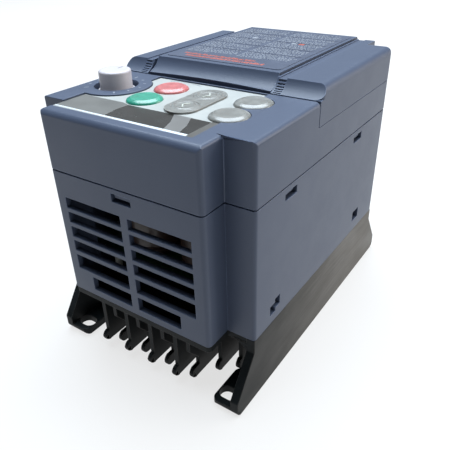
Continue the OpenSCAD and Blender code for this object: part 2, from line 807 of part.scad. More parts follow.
module module_screws() {
    color(steel) for (p = module_screw_at()) screw(p, base_z + pad_t + 2.4, 6.4);
}

module board_standoffs() {
    color([0.80, 0.66, 0.35]) four(standoff_at) difference() {
        translate([0, 0, base_z]) cylinder(h = power_board_z - base_z, r = 3, $fn = 6);
        translate([0, 0, base_z + 2]) cylinder(h = power_board_z, r = m3_r);
    }
}

module power_board() {
    board_w = 72;
    board_l = 94;
    tongue_y = 51.8;
    color(board_green) difference() {
        translate([0, 0, power_board_z]) linear_extrude(board_t) {
            square([board_w, board_l], center = true);
            translate([-27, 40]) square([54, tongue_y - 40]);
        }
        four(standoff_at) translate([0, 0, power_board_z - 1]) cylinder(h = 4, r = m3_r + 0.1);
    }
}

module power_board_screws() {
    color(steel) for (x = [-1, 1], y = [-1, 1])
        screw([x * standoff_at[0], y * standoff_at[1]], power_top_z, 6);
}

// Electrolytic capacitor: crimped can with a vent cross
module capacitor(x) {
    can_r = 11;
    can_h = 30;
    rim = 1;
    translate([x, -33, power_top_z]) difference() {
        rotate_extrude($fn = 64)
            polygon([[0, 0], [can_r - rim, 0], [can_r, rim], [can_r, 2.5], [can_r - 0.6, 3.2],
                [can_r, 4], [can_r, can_h - rim], [can_r - rim, can_h], [0, can_h]]);
        for (a = [0, 90]) rotate(a) translate([-6, -0.3, can_h - 0.4]) cube([12, 0.6, 1]);
    }
}

module capacitor_left() {
    color([0.26, 0.17, 0.12]) capacitor(-13);
}

module capacitor_right() {
    color([0.26, 0.17, 0.12]) capacitor(13);
}

// Wound ring core, set into a square base
module filter_choke() {
    base_w = 18;
    base_t = 2;
    ring_r = 7;
    section_r = 3.2;
    color([0.62, 0.36, 0.18]) translate([-17, 25, power_top_z]) {
        translate([-base_w / 2, -base_w / 2, 0]) cube([base_w, base_w, base_t]);
        translate([0, 0, base_t + section_r - 0.8])
            rotate_extrude($fn = 64) translate([ring_r, 0]) circle(section_r, $fn = 24);
    }
}

module film_capacitor() {
    color([0.80, 0.68, 0.20]) box([-2, 18, power_top_z], [16, 28, power_top_z + 15]);
}

module transformer() {
    color([0.72, 0.62, 0.30]) translate([-20, 3, power_top_z]) {
        translate([-10, -9, 0]) cube([20, 18, 3]);
        translate([-7, -9, 3]) cube([14, 18, 2.5]);
        translate([0, 0, 5.5]) cylinder(h = 9, r = 7);
        translate([-7, -9, 14.5]) cube([14, 18, 2.5]);
    }
}

module inrush_relay() {
    color([0.10, 0.10, 0.11]) difference() {
        box([8, -9, power_top_z], [27, 6.5, power_top_z + 15.5]);
        translate([17.5, -1.2, power_top_z + 15.5]) cylinder(h = 1, r = 1, center = true);
    }
}

terminal_count = 7;
terminal_pitch = 7.4;
terminal_y = [37.5, 51.5];
terminal_top = 57;
function terminal_x(k) = (k - (terminal_count - 1) / 2) * terminal_pitch;

module main_terminal_block() {
    barrier_t = 1.2;
    half = terminal_count * terminal_pitch / 2;
    pocket = terminal_pitch - barrier_t;
    color([0.13, 0.13, 0.14]) difference() {
        box([-half - barrier_t / 2, terminal_y[0], power_top_z],
            [half + barrier_t / 2, terminal_y[1], terminal_top + 5]);
        for (k = [0:terminal_count - 1]) {
            // open pocket above each terminal, with a free way in from the wiring end
            box([terminal_x(k) - pocket / 2, terminal_y[0] + 2, terminal_top],
                [terminal_x(k) + pocket / 2, terminal_y[1] + 1, terminal_top + 6]);
            translate([terminal_x(k), mid(terminal_y) + 0.5, terminal_top - 6]) cylinder(h = 8, r = 1.75);
        }
    }
}

module main_terminal_screws() {
    clamp = [5.8, 7.2, 0.8];
    color([0.76, 0.74, 0.68]) for (k = [0:terminal_count - 1]) {
        at = [terminal_x(k), mid(terminal_y) + 0.5];
        translate([at[0] - clamp[0] / 2, at[1] - clamp[1] / 2, terminal_top]) cube(clamp);
        screw(at, terminal_top + clamp[2], 6, 2.8, 1.75);
    }
}

module ground_screws() {
    color([0.76, 0.74, 0.68]) for (p = ground_screw_at()) screw(p, base_z, 4, 2.8);
}

// White light guide standing between the heatsink and the board, behind the grille
module support_post() {
    color([0.90, 0.90, 0.86]) translate([-22.5, -44.5, base_z]) cylinder(h = power_board_z - base_z, r = 1.3);
}

// ---------------------------------------------------------------- control stage

control_post_at = [[-31, -10], [31, -10], [-31, 27.5], [31, 27.5]];

module board_link() {
    color([0.12, 0.12, 0.13]) box([21, 14, power_top_z], [27, 32, control_board_z]);
}

module control_posts() {
    color([0.85, 0.85, 0.82]) for (p = control_post_at) difference() {
        translate([p[0], p[1], power_top_z]) cylinder(h = control_board_z - power_top_z, r = 2.4);
        translate([p[0], p[1], control_board_z - 6]) cylinder(h = 7, r = m3_r - 0.25);
    }
}

module control_board() {
    color(board_green) difference() {
        translate([0, 10, control_board_z]) linear_extrude(board_t) square([68, 50], center = true);
        for (p = control_post_at)
            translate([p[0], p[1], control_board_z - 1]) cylinder(h = 4, r = m3_r - 0.15);
    }
}

module control_screws() {
    color(steel) for (p = control_post_at) screw(p, control_top_z, 5, 2, m3_r - 0.25);
}

control_count = 11;
control_pitch = 3.5;
control_terminal_y = [24, 33.5];
control_terminal_h = 9;
function control_x(k) = mid(plate_x) + (k - (control_count - 1) / 2) * control_pitch;

module control_terminal_block() {
    half = control_count * control_pitch / 2;
    top = control_top_z + control_terminal_h;
    color([0.16, 0.42, 0.30]) difference() {
        box([mid(plate_x) - half, control_terminal_y[0], control_top_z],
            [mid(plate_x) + half, control_terminal_y[1], top]);
        for (k = [0:control_count - 1]) {
            translate([control_x(k), mid(control_terminal_y) - 1.5, top - 4]) cylinder(h = 5, r = 1.3);
            // wire entries face the wiring end
            box([control_x(k) - 1.2, control_terminal_y[1] - 3, control_top_z + 1.6],
                [control_x(k) + 1.2, control_terminal_y[1] + 1, control_top_z + 4.2]);
        }
    }
}

module control_terminal_screws() {
    top = control_top_z + control_terminal_h;
    color(steel) for (k = [0:control_count - 1]) difference() {
        translate([control_x(k), mid(control_terminal_y) - 1.5, top - 4]) cylinder(h = 3.2, r = 1.3);
        translate([control_x(k), mid(control_terminal_y) - 1.5, top - 0.8])
            cube([1.9, 0.5, 1], center = true);
    }
}

module processor() {
    color([0.12, 0.12, 0.13]) difference() {
        box([-12, -6, control_top_z], [2, 8, control_top_z + 1.4]);
        translate([-10.6, 6.6, control_top_z + 1.4]) cylinder(h = 0.6, r = 0.6, center = true);
    }
}

// ---------------------------------------------------------------- nodes

heatsink();
lower_case();
case_screws();
upper_case();
terminal_cover();
control_cover();
cover_label();
wire_guard();
keypad_overlay();
display_window();
unit_window();
arrow_key_frame();
run_key();
stop_key();
up_key();
down_key();
program_key();
function_key();
speed_knob();
potentiometer();
potentiometer_shaft();
keypad_board();
led_display();
key_contacts();
keypad_posts();
thermal_pad();
power_module();
module_screws();
board_standoffs();
power_board();
power_board_screws();
capacitor_left();
capacitor_right();
filter_choke();
film_capacitor();
transformer();
inrush_relay();
main_terminal_block();
main_terminal_screws();
ground_screws();
board_link();
control_posts();
control_board();
control_screws();
control_terminal_block();
control_terminal_screws();
processor();
support_post();
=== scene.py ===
"""The looks of a compact variable frequency drive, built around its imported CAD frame.

Lengths in the tables below are millimetres in the row frame; mm() turns them into metres.
"""

import json
import math
import random

import bmesh
import bpy
from mathutils import Matrix, Vector
from mathutils.bvhtree import BVHTree


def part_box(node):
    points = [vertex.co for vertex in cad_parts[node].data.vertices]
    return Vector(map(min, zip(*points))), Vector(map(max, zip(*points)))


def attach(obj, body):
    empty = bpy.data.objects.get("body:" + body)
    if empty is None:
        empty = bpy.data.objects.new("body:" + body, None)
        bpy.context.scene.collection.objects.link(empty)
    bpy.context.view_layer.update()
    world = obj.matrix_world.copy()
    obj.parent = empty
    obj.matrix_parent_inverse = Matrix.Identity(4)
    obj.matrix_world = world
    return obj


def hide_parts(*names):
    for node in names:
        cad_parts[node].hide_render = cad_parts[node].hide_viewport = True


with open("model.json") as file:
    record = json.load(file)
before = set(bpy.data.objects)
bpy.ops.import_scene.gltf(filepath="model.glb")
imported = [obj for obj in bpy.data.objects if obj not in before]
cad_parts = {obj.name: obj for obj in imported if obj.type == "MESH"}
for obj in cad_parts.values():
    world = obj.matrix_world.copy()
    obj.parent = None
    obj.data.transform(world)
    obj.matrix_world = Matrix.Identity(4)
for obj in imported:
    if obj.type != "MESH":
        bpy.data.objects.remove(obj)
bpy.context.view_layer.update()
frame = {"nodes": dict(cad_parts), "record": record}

# ---------------------------------------------------------------- sizes

MM = 0.001
CASE_COLOR = (0.059, 0.075, 0.117)

# Shading and bevels: edges softer than the angle stay smooth, vertices within WELD are joined, and a
# bevelled vertex may lie at most STRAY bevel widths off the original surface
SOFT_ANGLE = math.radians(30)
WELD = 0.002
STRAY = 1.2

# Keypad; each key has its x, y and radius
FILM_TOP = 90.3
INK_T = 0.04
WINDOW_Y = (-53.2, -42.5)
KNOB_AT = (-27.9, -28.9)
KNOB_TURN = 140
DISC_TOP = 90.8
KEYS = {
    "run_key": (-8.7, -36.2, 5.8),
    "stop_key": (-8.7, -23.1, 5.8),
    "program_key": (22.9, -23.1, 6.1),
    "function_key": (22.9, -36.2, 6.1),
}
ARROW_KEYS = {"up_key": (6.9, -35.7, 4.3), "down_key": (6.9, -24.5, 4.3)}
KEY_EDGE, KEY_TOP = 90.4, 91.6
ARROW_EDGE, ARROW_TOP, CHEVRON_TOP = 90.85, 91.1, 91.12

# A key's foot (radius, lowest z) and flange (lowest and highest z). The CAD holes clear the keys by KEY_GAP,
# and the holes that show are closed in to SEEN_GAP down to HOLE_FLOOR
KEY_GAP = 0.3
SEEN_GAP = 0.05
HOLE_FLOOR = 89.0
CLOSE_FITTING = ("upper_case", "keypad_overlay", "arrow_key_frame")
KEY_FOOT = (1.8, 83.7)
KEY_FLANGE = (85.5, 86.7)
FLANGE_MAX = 6.35

# Label on the centre plate: its box, the top of its film, the top of its ink, and its rows of print
LABEL_X = (-26.3, 20.9)
LABEL_Y = (-3.8, 57.0)
LABEL_LOW = 95.8
LABEL_FILM = 95.96
LABEL_INK = 96.0
SYMBOL = 2.3
TEXT_COLUMNS = ((-24.8, -3.6), (-2.2, 19.4))
TEXT_START = 6.2
TEXT_PITCH = 1.15
TEXT_ROWS = 42
TEXT_H = 0.5
HEADING_ROWS = ((-19.5, 12.0, -1.6), (-22.0, 8.0, 1.3))

# Camera, fitted to the vanishing lines of the object
CAMERA_AT = (99.95, -150.80, 137.37)
CAMERA_AZIMUTH = 34.77
CAMERA_ELEVATION = 30.80
CAMERA_ROLL = -1.52
CAMERA_LENS = 40.75

# Lights: each softbox has its place, the point it faces, its side in metres, its power and its colour
SOFTBOXES = {
    "overhead": ((-0.15, 0.3, 1.3), (0, 0.05, 0), 1.3, 52, (0.80, 0.91, 1.0)),
    "behind": ((-0.62, 0.9, 0.85), (0, 0, 0.05), 1.3, 1.6, (0.85, 0.93, 1.0)),
    "right": ((1.05, 0.95, 0.55), (0, 0, 0.05), 0.8, 14.5, (1.0, 0.94, 0.87)),
}
SKY_STRENGTH = 0.06

# The paper glows a little, as on a light table, so that next to no shadow shows on it
FLOOR_GLOW = 0.72
FLOOR_HALF = 6.0


def mm(*values):
    """A place given in millimetres, as a vector in metres."""
    return Vector(values) * MM


def middle(node):
    """Centre of a CAD node's box."""
    low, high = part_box(node)
    return (Vector(low) + Vector(high)) / 2


# ---------------------------------------------------------------- materials


class Paint:
    """A node material made step by step. Each step returns the socket that it ends in."""

    def __init__(self, name, **surface):
        self.material = bpy.data.materials.new(name)
        self.material.use_nodes = True
        self.tree = self.material.node_tree
        self.shader = self.tree.nodes["Principled BSDF"]
        self.coordinates = self.add("ShaderNodeTexCoord").outputs["Object"]
        for key, value in surface.items():
            self.set(key, value)

    def add(self, kind, **settings):
        """Adds a shader node and sets its properties."""
        node = self.tree.nodes.new(kind)
        for key, value in settings.items():
            setattr(node, key, value)
        return node

    def put(self, socket, value):
        """Links a socket or sets a plain value."""
        if isinstance(value, bpy.types.NodeSocket):
            self.tree.links.new(value, socket)
        elif isinstance(value, tuple) and len(value) == 3 and socket.type == "RGBA":
            socket.default_value = (*value, 1.0)
        else:
            socket.default_value = value

    def set(self, key, value):
        """Links or sets an input of the surface; an underscore in the key stands for a space."""
        self.put(self.shader.inputs[key.replace("_", " ")], value)

    def stretched(self, scale):
        """Coordinates multiplied along each axis: a small factor draws a pattern out."""
        node = self.add("ShaderNodeVectorMath", operation="MULTIPLY")
        self.put(node.inputs[0], self.coordinates)
        node.inputs[1].default_value = scale
        return node.outputs[0]

    def noise(self, size, detail=3.0, stretch=None, roughness=0.5):
        """Noise between 0 and 1 with features of the given size in millimetres."""
        node = self.add("ShaderNodeTexNoise")
        self.put(node.inputs["Vector"], self.stretched(stretch) if stretch else self.coordinates)
        node.inputs["Scale"].default_value = 1 / (size * MM)
        node.inputs["Detail"].default_value = detail
        node.inputs["Roughness"].default_value = roughness
        return node.outputs["Fac"]

    def cells(self, size):
        """Distance to the nearest point of a cell pattern."""
        node = self.add("ShaderNodeTexVoronoi")
        self.put(node.inputs["Vector"], self.coordinates)
        node.inputs["Scale"].default_value = 1 / (size * MM)
        return node.outputs["Distance"]

    def span(self, value, low, high, start=0.0, end=1.0):
        """Maps low..high onto start..end, smoothly and with no overshoot."""
        node = self.add("ShaderNodeMapRange", interpolation_type="SMOOTHSTEP")
        for socket, number in zip(node.inputs[:5], (value, low, high, start, end)):
            self.put(socket, number)
        return node.outputs["Result"]

    def math(self, operation, *values):
        """One step of arithmetic."""
        node = self.add("ShaderNodeMath", operation=operation)
        for socket, value in zip(node.inputs, values):
            self.put(socket, value)
        return node.outputs[0]

    def mix(self, factor, first, second):
        """A colour between two others."""
        node = self.add("ShaderNodeMix", data_type="RGBA")
        colors = [s for s in node.inputs if s.type == "RGBA"]
        self.put(node.inputs[0], factor)
        self.put(colors[0], first)
        self.put(colors[1], second)
        return [s for s in node.outputs if s.type == "RGBA"][0]

    def place(self, axis):
        """The object's own x, y or z in metres."""
        node = self.add("ShaderNodeSeparateXYZ")
        self.put(node.inputs[0], self.coordinates)
        return node.outputs[axis]

    def edges(self, radius):
        """1 along convex and concave edges, 0 on the flats."""
        bevel = self.add("ShaderNodeBevel", samples=4)
        bevel.inputs["Radius"].default_value = radius * MM
        dot = self.add("ShaderNodeVectorMath", operation="DOT_PRODUCT")
        self.put(dot.inputs[0], bevel.outputs[0])
        self.put(dot.inputs[1], self.add("ShaderNodeNewGeometry").outputs["True Normal"])
        return self.span(dot.outputs["Value"], 0.75, 0.995, 1.0, 0.0)

    def bump(self, *layers):
        """Stacks bumps, each a height between 0 and 1 and its depth in millimetres."""
        normal = None
        for height, depth in layers:
            node = self.add("ShaderNodeBump")
            node.inputs["Strength"].default_value = 1.0
            node.inputs["Distance"].default_value = depth * MM
            self.put(node.inputs["Height"], height)
            if normal:
                self.put(node.inputs["Normal"], normal)
            normal = node.outputs[0]
        self.set("Normal", normal)


def shade(color, factor):
    """A colour made darker or lighter."""
    return tuple(min(1.0, c * factor) for c in color)


def moulded(name, color, roughness=0.42, wear_and_highlight=0.5, specular=0.5):
    """Moulded plastic: spark-eroded grain, faint flow marks, and edges painted paler, partly as rubbed wear
    and partly as a painted highlight.
    """
    paint = Paint(name, Specular_IOR_Level=specular)
    flow = paint.noise(22, stretch=(1, 1, 0.4))
    grain = paint.noise(0.28, detail=2)
    smudge = paint.noise(9, detail=5, roughness=0.6)
    tone = paint.mix(paint.span(flow, 0.3, 0.7), shade(color, 0.97), shade(color, 1.03))
    speckle = paint.mix(paint.span(grain, 0.35, 0.7), shade(color, 0.93), shade(color, 1.06))
    tone = paint.mix(0.35, tone, speckle)
    # Paler edges: rubbed wear together with a painted highlight along the rounded edges
    edge_wear_and_highlight = paint.math("MULTIPLY", paint.edges(0.5), wear_and_highlight)
    paint.set("Base_Color", paint.mix(edge_wear_and_highlight, tone, shade(color, 2.3)))
    rough = paint.span(smudge, 0.3, 0.75, roughness - 0.02, roughness + 0.03)
    paint.set("Roughness", rough)
    paint.bump((grain, 0.012), (flow, 0.02))
    return paint.material


def anodised(name):
    """Black anodised aluminium: satin metal on the outer faces of the two side plates, painted paler towards
    the far end as a sheen, and edges painted pale as worn metal and highlight.
    """
    black, bare = (0.0035, 0.0048, 0.0055), (0.125, 0.118, 0.108)
    paint = Paint(name)
    lines = paint.noise(0.5, stretch=(1, 0.02, 1), detail=4)
    blotch = paint.noise(7, detail=4, stretch=(1, 0.35, 1))
    low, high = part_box("heatsink")
    outer = paint.span(paint.math("ABSOLUTE", paint.place("X")), high[0] - 0.4 * MM, high[0] - 0.1 * MM)
    # Painted sheen: the satin outer faces are painted paler towards the far end, where the lights reflect in
    # them
    far_end_sheen = paint.span(paint.place("Y"), low[1], high[1] - 20 * MM, 0.12, 1.0)
    # Edges painted pale as bare metal: worn anodising together with a painted highlight
    edge_wear_and_highlight = paint.math("MULTIPLY", paint.edges(0.3), 0.6)
    satin_sheen_and_edges = paint.math("MAXIMUM", paint.math("MULTIPLY", outer, far_end_sheen), edge_wear_and_highlight)
    satin = paint.mix(paint.span(lines, 0.3, 0.7), shade(bare, 0.85), shade(bare, 1.2))
    dark = paint.mix(paint.span(blotch, 0.3, 0.7), black, shade(black, 1.9))
    paint.set("Base_Color", paint.mix(satin_sheen_and_edges, dark, satin))
    paint.set("Metallic", paint.math("MULTIPLY", satin_sheen_and_edges, 0.5))
    paint.set("Roughness", paint.span(blotch, 0.25, 0.75, 0.42, 0.58))
    paint.set("Specular_IOR_Level", 0.13)
    paint.bump((lines, 0.010), (blotch, 0.01))
    return paint.material


def metal(name, color):
    """Plated or turned metal: fine tool lines, dull patches, and bright edges."""
    paint = Paint(name, Metallic=1.0)
    lines = paint.noise(0.3, stretch=(1, 1, 0.1), detail=4)
    patches = paint.noise(2.2, detail=5)
    tone = paint.mix(paint.span(patches, 0.35, 0.7), shade(color, 0.6), color)
    # Edges painted brighter: wear together with a painted highlight
    paint.set("Base_Color", paint.mix(paint.edges(0.2), tone, shade(color, 1.15)))
    paint.set("Roughness", paint.span(patches, 0.3, 0.7, 0.42, 0.3))
    paint.bump((lines, 0.008))
    return paint.material


def silicone(name, color, glow=0.25):
    """Translucent rubber: soft scatter, a finger-polished gloss, and faint mould texture."""
    paint = Paint(name, Subsurface_Weight=glow, Subsurface_Scale=0.0012, Coat_Weight=0.4, Coat_Roughness=0.14)
    paint.set("Subsurface_Radius", (1.0, 0.8, 0.7))
    cloud = paint.noise(2.6, detail=3)
    grain = paint.noise(0.16, detail=2)
    tone = paint.mix(paint.span(cloud, 0.3, 0.7), shade(color, 0.9), shade(color, 1.12))
    # Rims painted paler: a painted highlight where the rubber's edges catch the light
    paint.set("Base_Color", paint.mix(paint.edges(0.3), tone, shade(color, 1.35)))
    paint.set("Roughness", paint.span(cloud, 0.3, 0.7, 0.30, 0.40))
    paint.bump((grain, 0.006), (cloud, 0.02))
    return paint.material


def printed(name, color, roughness=0.4, gloss=0.0, depth=0.003):
    """Screen-printed film: ink of slightly uneven density over a fine matt texture."""
    paint = Paint(name, Coat_Weight=gloss, Coat_Roughness=0.12)
    ink = paint.noise(6, detail=4)
    grain = paint.noise(0.12, detail=2)
    tone = paint.mix(paint.span(ink, 0.3, 0.7), shade(color, 0.95), shade(color, 1.04))
    speckle = paint.mix(paint.span(grain, 0.3, 0.75), shade(color, 0.93), shade(color, 1.05))
    paint.set("Base_Color", paint.mix(0.4, tone, speckle))
    paint.set("Roughness", paint.span(ink, 0.3, 0.7, roughness - 0.04, roughness + 0.06))
    paint.bump((grain, depth))
    return paint.material


def circuit_board(name):
    """Green solder mask over copper tracks, with tinned pads and vias."""
    mask, track = (0.012, 0.075, 0.035), (0.03, 0.14, 0.06)
    paint = Paint(name, Coat_Weight=0.4, Coat_Roughness=0.15)
    brick = paint.add("ShaderNodeTexBrick", offset=0.37, squash=0.6, squash_frequency=3)
    paint.put(brick.inputs["Vector"], paint.coordinates)
    for key, value in (("Scale", 1 / (9 * MM)), ("Mortar Size", 0.05), ("Mortar Smooth", 0.2)):
        brick.inputs[key].default_value = value
    tracks = paint.span(brick.outputs["Fac"], 0.3, 0.6)
    vias = paint.span(paint.cells(3.1), 0.06, 0.10, 1.0, 0.0)
    weave = paint.noise(0.5, detail=1)
    tone = paint.mix(tracks, mask, track)
    tone = paint.mix(paint.math("MULTIPLY", paint.span(weave, 0.35, 0.7), 0.3), tone, shade(mask, 0.6))
    paint.set("Base_Color", paint.mix(vias, tone, (0.55, 0.54, 0.50)))
    paint.set("Metallic", vias)
    paint.set("Roughness", paint.span(weave, 0.3, 0.7, 0.30, 0.42))
    paint.bump((tracks, 0.02), (vias, 0.02))
    return paint.material


def wound_copper(name):
    """Turns of enamelled wire round the ring of the choke."""
    paint = Paint(name, Coat_Weight=0.5, Coat_Roughness=0.1)
    place = paint.add("ShaderNodeSeparateXYZ")
    shifted = paint.add("ShaderNodeVectorMath", operation="SUBTRACT")
    paint.put(shifted.inputs[0], paint.coordinates)
    shifted.inputs[1].default_value = middle("filter_choke")
    paint.put(place.inputs[0], shifted.outputs[0])
    around = paint.math("ARCTAN2", place.outputs["Y"], place.outputs["X"])
    turns = paint.math("SINE", paint.math("MULTIPLY", around, 44.0))
    crest = paint.span(turns, -0.9, 0.9)
    dirt = paint.noise(1.5, detail=4)
    # The grooves between the turns are painted near black as shade; the crests keep the copper's colour
    paint.set("Base_Color", paint.mix(crest, (0.05, 0.012, 0.004), (0.42, 0.15, 0.045)))
    paint.set("Metallic", 0.7)
    paint.set("Roughness", paint.span(dirt, 0.3, 0.7, 0.25, 0.42))
    paint.bump((crest, 0.25))
    return paint.material


MATERIALS = {
    # The case's edges are painted much paler, mostly as a painted highlight along its rounded edges
    "case_blue": moulded("case_blue", CASE_COLOR, wear_and_highlight=0.8, specular=0.3),
    "heatsink_black": anodised("heatsink_black"),
    "guard_grey": moulded("guard_grey", (0.055, 0.062, 0.080), roughness=0.5),
    "label": printed("label", (0.060, 0.074, 0.116), roughness=0.36),
    "overlay": printed("overlay", (0.345, 0.355, 0.345), roughness=0.45),
    "window": printed("window", (0.026, 0.024, 0.022), roughness=0.22, gloss=0.2, depth=0.001),
    "key_grey": silicone("key_grey", (0.185, 0.183, 0.172)),
    "key_green": silicone("key_green", (0.022, 0.25, 0.17)),
    "key_red": silicone("key_red", (0.47, 0.13, 0.13)),
    "knob_white": moulded("knob_white", (0.47, 0.44, 0.47), roughness=0.42, wear_and_highlight=0.1),
    "steel": metal("steel", (0.62, 0.62, 0.64)),
    "brass": metal("brass", (0.62, 0.44, 0.16)),
    "board": circuit_board("board"),
    "black_plastic": moulded("black_plastic", (0.016, 0.016, 0.018), roughness=0.5, wear_and_highlight=0.25),
    "blue_plastic": moulded("blue_plastic", (0.02, 0.07, 0.26), roughness=0.4),
    "white_plastic": moulded("white_plastic", (0.70, 0.70, 0.64), roughness=0.45, wear_and_highlight=0.2),
    "terminal_green": moulded("terminal_green", (0.022, 0.15, 0.07), roughness=0.45),
    "pad_grey": silicone("pad_grey", (0.50, 0.52, 0.47), glow=0.1),
    "sleeve_brown": printed("sleeve_brown", (0.030, 0.015, 0.010), roughness=0.32, gloss=0.2),
    "copper_winding": wound_copper("copper_winding"),
    "yellow_plastic": moulded("yellow_plastic", (0.60, 0.40, 0.035), roughness=0.35),
    "tape_yellow": printed("tape_yellow", (0.48, 0.34, 0.07), roughness=0.35, gloss=0.3),
    "carbon": silicone("carbon", (0.02, 0.02, 0.021), glow=0.0),
    "terminal_metal": metal("terminal_metal", (0.60, 0.57, 0.50)),
}

# Inks of the printed films, and for the keypad film a painted highlight line and a painted shade. They aren't
# slots of the record: each print rides on its film's slot.
INK_BLANK = printed("ink_blank", (0.125, 0.124, 0.118), roughness=0.35, gloss=0.2)
INK_STRIPE = printed("ink_stripe", (0.15, 0.146, 0.143), roughness=0.35, gloss=0.2)
INK_BORDER = printed("ink_border", (0.080, 0.075, 0.068), roughness=0.35, gloss=0.2)
CRESCENT_SHADE = printed("painted_crescent_shade", (0.22, 0.245, 0.27), roughness=0.4)
NEAR_EDGE_HIGHLIGHT = printed("painted_edge_highlight", (0.56, 0.60, 0.63), roughness=0.4)
INK_PALE = printed("ink_pale", (0.25, 0.27, 0.31), roughness=0.4)
INK_RED = printed("ink_red", (0.36, 0.085, 0.065), roughness=0.4)
INK_DARK = printed("ink_dark", (0.036, 0.044, 0.075), roughness=0.4)

# ---------------------------------------------------------------- mesh helpers


def finished(mesh, name, body, slot, material=None):
    """Puts a mesh in the scene with its material, its body and smooth shading on its soft edges."""
    piece = bpy.data.objects.new(name, mesh)
    bpy.context.scene.collection.objects.link(piece)
    mesh.materials.clear()
    mesh.materials.append(material or MATERIALS[slot])
    mesh.shade_smooth()
    mesh.set_sharp_from_angle(angle=SOFT_ANGLE)
    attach(piece, body)
    return piece


def softened_copy(node, width):
    """A copy of a CAD node with rounded edges, shown in place of the node.

    A bevel can throw a corner far out where narrow faces meet, so strays are pulled back.
    """
    mesh = frame["nodes"][node].data.copy()
    mesh.attributes.remove(mesh.attributes["custom_normal"])
    work = bmesh.new()
    work.from_mesh(mesh)
    bmesh.ops.remove_doubles(work, verts=work.verts, dist=WELD * MM)
    if node in CLOSE_FITTING:
        for x, y, radius in [*KEYS.values(), *ARROW_KEYS.values()]:
            close_in(work, (x, y), radius + KEY_GAP, radius + SEEN_GAP)
    surface = BVHTree.FromBMesh(work)
    work.to_mesh(mesh)
    work.free()
    piece = finished(mesh, node + "_finished", body_of[node], slot_of[node])
    bevel = piece.modifiers.new("round edges", "BEVEL")
    bevel.width = width * MM
    bevel.segments = 2
    bevel.limit_method = "ANGLE"
    bevel.angle_limit = SOFT_ANGLE
    bevel.harden_normals = True
    bevel.use_clamp_overlap = False
    bevel.miter_outer = "MITER_SHARP"
    graph = bpy.context.evaluated_depsgraph_get()
    rounded = bpy.data.meshes.new_from_object(piece.evaluated_get(graph), depsgraph=graph)
    piece.modifiers.clear()
    for vertex in rounded.vertices:
        nearest, _, _, distance = surface.find_nearest(vertex.co)
        if distance > STRAY * width * MM:
            vertex.co = nearest
    piece.data = rounded
    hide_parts(node)
    return piece


def close_in(work, centre, radius, wanted):
    """Narrows an upright hole to the wanted radius."""
    axis = mm(*centre)
    tolerance = 0.02 * MM
    for vertex in work.verts:
        spoke = Vector((vertex.co.x - axis.x, vertex.co.y - axis.y))
        if abs(spoke.length - radius * MM) < tolerance and vertex.co.z > HOLE_FLOOR * MM:
            vertex.co.xy = axis.xy + spoke.normalized() * wanted * MM


def prism(work, outline, low, high):
    """Adds a closed prism over an outline of (x, y) points in millimetres."""
    bottom = [work.verts.new(mm(x, y, low)) for x, y in outline]
    top = [work.verts.new(mm(x, y, high)) for x, y in outline]
    count = len(outline)
    work.faces.new(reversed(bottom))
    work.faces.new(top)
    for k in range(count):
        after = (k + 1) % count
        work.faces.new((bottom[k], bottom[after], top[after], top[k]))


def lathe(work, profile, centre):
    """Adds a closed turned solid over a profile of (radius, z) points from axis to axis."""
    segments = 96
    rings = []
    for radius, z in profile:
        if radius == 0:
            rings.append([work.verts.new(mm(*centre, z))])
            continue
        circle = arc(centre, radius, 0, 360, segments)[:-1]
        rings.append([work.verts.new(mm(x, y, z)) for x, y in circle])
    for lower, upper in zip(rings, rings[1:]):
        for k in range(segments):
            after = (k + 1) % segments
            lower_side = [lower[k % len(lower)], lower[after % len(lower)]]
            upper_side = [upper[after % len(upper)], upper[k % len(upper)]]
            work.faces.new(list(dict.fromkeys(lower_side + upper_side)))


def extruded(name, outline, low, high, body, slot, material=None):
    """A flat piece over one outline."""
    work = bmesh.new()
    prism(work, outline, low, high)
    return finished(mesh_of(name, work), name, body, slot, material)


def turned(name, profile, centre, body, slot):
    """A round piece turned from a profile."""
    work = bmesh.new()
    lathe(work, profile, centre)
    return finished(mesh_of(name, work), name, body, slot)


def arc(centre, radius, start, end, steps=24):
    """Points along an arc, with its angles in degrees."""
    angles = [math.radians(start + (end - start) * k / steps) for k in range(steps + 1)]
    return [(centre[0] + radius * math.cos(a), centre[1] + radius * math.sin(a)) for a in angles]


def mesh_of(name, work):
    """Turns finished bmesh work into a mesh with outward faces."""
    bmesh.ops.recalc_face_normals(work, faces=work.faces)
    mesh = bpy.data.meshes.new(name)
    work.to_mesh(mesh)
    work.free()
    return mesh


body_of = {node: body for body, nodes in frame["record"]["behaviour"]["bodies"].items() for node in nodes}
slot_of = {part["node"]: part["material_slot"] for part in frame["record"]["subparts"]}

# ---------------------------------------------------------------- housings and heatsink

SOFTENED = {
    "heatsink": 0.25,
    "lower_case": 0.22,
    "upper_case": 0.25,
    "wire_guard": 0.25,
    "arrow_key_frame": 0.08,
    "keypad_overlay": 0.08,
}
for node, width in SOFTENED.items():
    softened_copy(node, width)

# ---------------------------------------------------------------- keypad


def dome(radius, low, high):
    """Profile of a rubber dome from its edge to the middle, with a raised ring near the edge."""
    steps, flatness, shoulder = 40, 6, 0.62
    ring_at, ring_w, ring = 0.74, 0.07, 0.13
    points = []
    for k in range(steps + 1):
        t = 1 - k / steps
        bulge = ring * math.exp(-((t - ring_at) / ring_w) ** 2)
        points.append((radius * t, low + (high - low - ring) * (1 - t ** flatness) ** shoulder + bulge))
    return points


